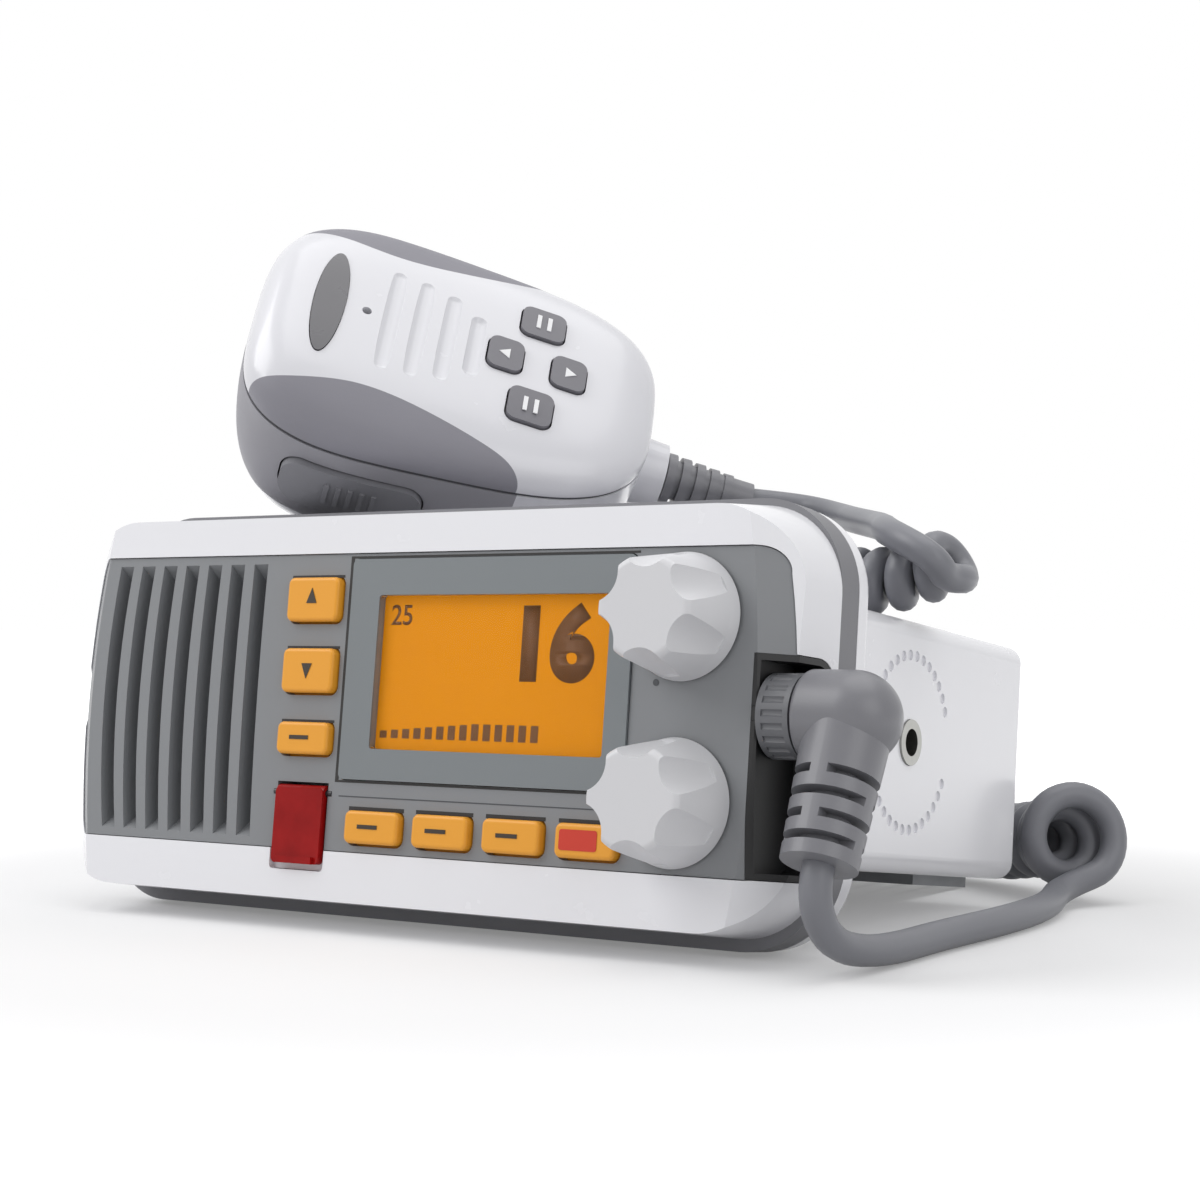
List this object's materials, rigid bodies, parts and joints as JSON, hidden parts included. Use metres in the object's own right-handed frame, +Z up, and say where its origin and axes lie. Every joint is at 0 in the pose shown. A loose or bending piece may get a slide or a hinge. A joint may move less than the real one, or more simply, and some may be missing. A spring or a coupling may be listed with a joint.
{
  "type": "vhf marine radio",
  "caption": "Fixed-mount marine radio leaning on its heat sink, with knobs, lit keys and display, and a fist microphone on a curly cord lying on the case.",
  "frame": {"origin": "floor point under the middle of the radio without its cord", "axes": "+X to the right as seen from the controls, +Y from the controls to the back, +Z up"},
  "size_m": [0.1833, 0.1617, 0.1398],
  "materials": {
    "aluminium_sink": "coated white",
    "amber_key": "satin",
    "amber_screen": "lit from behind",
    "black_cloth": "woven",
    "black_plastic": "matt",
    "brass_insert": "plated",
    "circuit_board": "satin",
    "clear_pane": "clear",
    "grey_frame": "glossy",
    "grey_panel": "satin",
    "mic_grey": "matt",
    "red_cover": "clear red",
    "red_key": "satin",
    "soft_rubber": "matt",
    "speaker_iron": "matt",
    "steel": "bright",
    "white_knob": "satin",
    "white_shell": "glossy"
  },
  "bodies": {
    "radio": {"antenna_socket": "steel", "cord_coil": "soft_rubber", "cord_lead": "soft_rubber", "cord_tail": "soft_rubber", "display_frame": "grey_frame", "display_window": "clear_pane", "distress_hinge_pin": "steel", "face_panel": "grey_panel", "front_bezel": "white_shell", "front_board": "circuit_board", "front_gasket": "soft_rubber", "front_screws": "steel", "grille_cloth": "black_cloth", "heat_sink": "aluminium_sink", "keypad_sheet": "soft_rubber", "knob_controls": "steel", "lcd_module": "amber_screen", "lead_glands": "soft_rubber", "light_guide": "clear_pane", "main_board": "circuit_board", "main_housing": "white_shell", "mic_socket": "steel", "plug_body": "steel", "plug_boot": "soft_rubber", "plug_tray": "black_plastic", "rear_screws": "steel", "shield_can": "steel", "speaker_cone": "black_cloth", "speaker_frame": "speaker_iron", "speaker_magnet": "speaker_iron", "threaded_inserts": "brass_insert"},
    "volume": {"volume_knob": "white_knob", "volume_shaft": "steel"},
    "squelch": {"squelch_knob": "white_knob", "squelch_shaft": "steel"},
    "distress_flap": {"distress_cover": "red_cover"},
    "distress_button": {"distress_key": "red_key"},
    "microphone": {"mic_front_shell": "white_shell", "mic_side_grips": "mic_grey", "mic_badge_plate": "mic_grey", "mic_seal": "mic_grey", "mic_rear_shell": "white_shell", "mic_rear_grip": "mic_grey", "mic_board": "circuit_board", "mic_capsule": "steel", "mic_strain_relief": "soft_rubber", "hanger_stud": "steel"},
    "talk_button": {"ptt_button": "mic_grey"},
    "plug_ring": {"coupling_ring": "black_plastic"},
    "key_channel_up_cap": {"key_channel_up": "amber_key"},
    "key_channel_down_cap": {"key_channel_down": "amber_key"},
    "key_enter_cap": {"key_enter": "amber_key"},
    "key_row_1_cap": {"key_row_1": "amber_key"},
    "key_row_2_cap": {"key_row_2": "amber_key"},
    "key_row_3_cap": {"key_row_3": "amber_key"},
    "key_row_4_cap": {"key_row_4": "amber_key"},
    "mic_key_top_cap": {"mic_key_top": "mic_grey"},
    "mic_key_bottom_cap": {"mic_key_bottom": "mic_grey"},
    "mic_key_left_cap": {"mic_key_left": "mic_grey"},
    "mic_key_right_cap": {"mic_key_right": "mic_grey"}
  },
  "joints": [
    {"name": "volume_turn", "type": "hinge", "parent": "radio", "child": "volume", "pos_m": [0.062, -0.05482, 0.05833], "axis": [0, -0.9926, 0.1215], "range_deg": [-150, 150]},
    {"name": "squelch_turn", "type": "hinge", "parent": "radio", "child": "squelch", "pos_m": [0.062, -0.05864, 0.02717], "axis": [0, -0.9926, 0.1215], "range_deg": [-150, 150]},
    {"name": "distress_cover_lift", "type": "hinge", "parent": "radio", "child": "distress_flap", "pos_m": [-0.0193, -0.05788, 0.02556], "axis": [-1, 0, 0], "range_deg": [0, 100], "stiffness_Nm_per_rad": 0.002, "springref_deg": -28.65},
    {"name": "distress_press", "type": "slide", "parent": "radio", "child": "distress_button", "axis": [0, 0.9926, -0.1215], "range_m": [0, 0.0007], "stiffness_N_per_m": 600, "springref_m": -0.0005},
    {"name": "mic_lift", "type": "slide", "parent": "radio", "child": "microphone", "axis": [0, 0, 1], "range_m": [0, 0.1]},
    {"name": "talk_press", "type": "slide", "parent": "microphone", "child": "talk_button", "axis": [-0.2743, 0.5979, 0.7532], "range_m": [0, 0.0012], "stiffness_N_per_m": 900, "springref_m": -0.0005},
    {"name": "plug_ring_turn", "type": "hinge", "parent": "radio", "child": "plug_ring", "pos_m": [0.08, -0.05081, 0.04172], "axis": [1, 0, 0], "continuous": true},
    {"name": "key_channel_up_press", "type": "slide", "parent": "radio", "child": "key_channel_up_cap", "axis": [0, 0.9926, -0.1215], "range_m": [0, 0.0008], "stiffness_N_per_m": 600, "springref_m": -0.0005},
    {"name": "key_channel_down_press", "type": "slide", "parent": "radio", "child": "key_channel_down_cap", "axis": [0, 0.9926, -0.1215], "range_m": [0, 0.0008], "stiffness_N_per_m": 600, "springref_m": -0.0005},
    {"name": "key_enter_press", "type": "slide", "parent": "radio", "child": "key_enter_cap", "axis": [0, 0.9926, -0.1215], "range_m": [0, 0.0008], "stiffness_N_per_m": 600, "springref_m": -0.0005},
    {"name": "key_row_1_press", "type": "slide", "parent": "radio", "child": "key_row_1_cap", "axis": [0, 0.9926, -0.1215], "range_m": [0, 0.0008], "stiffness_N_per_m": 600, "springref_m": -0.0005},
    {"name": "key_row_2_press", "type": "slide", "parent": "radio", "child": "key_row_2_cap", "axis": [0, 0.9926, -0.1215], "range_m": [0, 0.0008], "stiffness_N_per_m": 600, "springref_m": -0.0005},
    {"name": "key_row_3_press", "type": "slide", "parent": "radio", "child": "key_row_3_cap", "axis": [0, 0.9926, -0.1215], "range_m": [0, 0.0008], "stiffness_N_per_m": 600, "springref_m": -0.0005},
    {"name": "key_row_4_press", "type": "slide", "parent": "radio", "child": "key_row_4_cap", "axis": [0, 0.9926, -0.1215], "range_m": [0, 0.0008], "stiffness_N_per_m": 600, "springref_m": -0.0005},
    {"name": "mic_key_top_press", "type": "slide", "parent": "microphone", "child": "mic_key_top_cap", "axis": [-0.6412, 0.4701, -0.6066], "range_m": [0, 0.0006], "stiffness_N_per_m": 600, "springref_m": -0.0005},
    {"name": "mic_key_bottom_press", "type": "slide", "parent": "microphone", "child": "mic_key_bottom_cap", "axis": [-0.6412, 0.4701, -0.6066], "range_m": [0, 0.0006], "stiffness_N_per_m": 600, "springref_m": -0.0005},
    {"name": "mic_key_left_press", "type": "slide", "parent": "microphone", "child": "mic_key_left_cap", "axis": [-0.6412, 0.4701, -0.6066], "range_m": [0, 0.0006], "stiffness_N_per_m": 600, "springref_m": -0.0005},
    {"name": "mic_key_right_press", "type": "slide", "parent": "microphone", "child": "mic_key_right_cap", "axis": [-0.6412, 0.4701, -0.6066], "range_m": [0, 0.0006], "stiffness_N_per_m": 600, "springref_m": -0.0005}
  ]
}
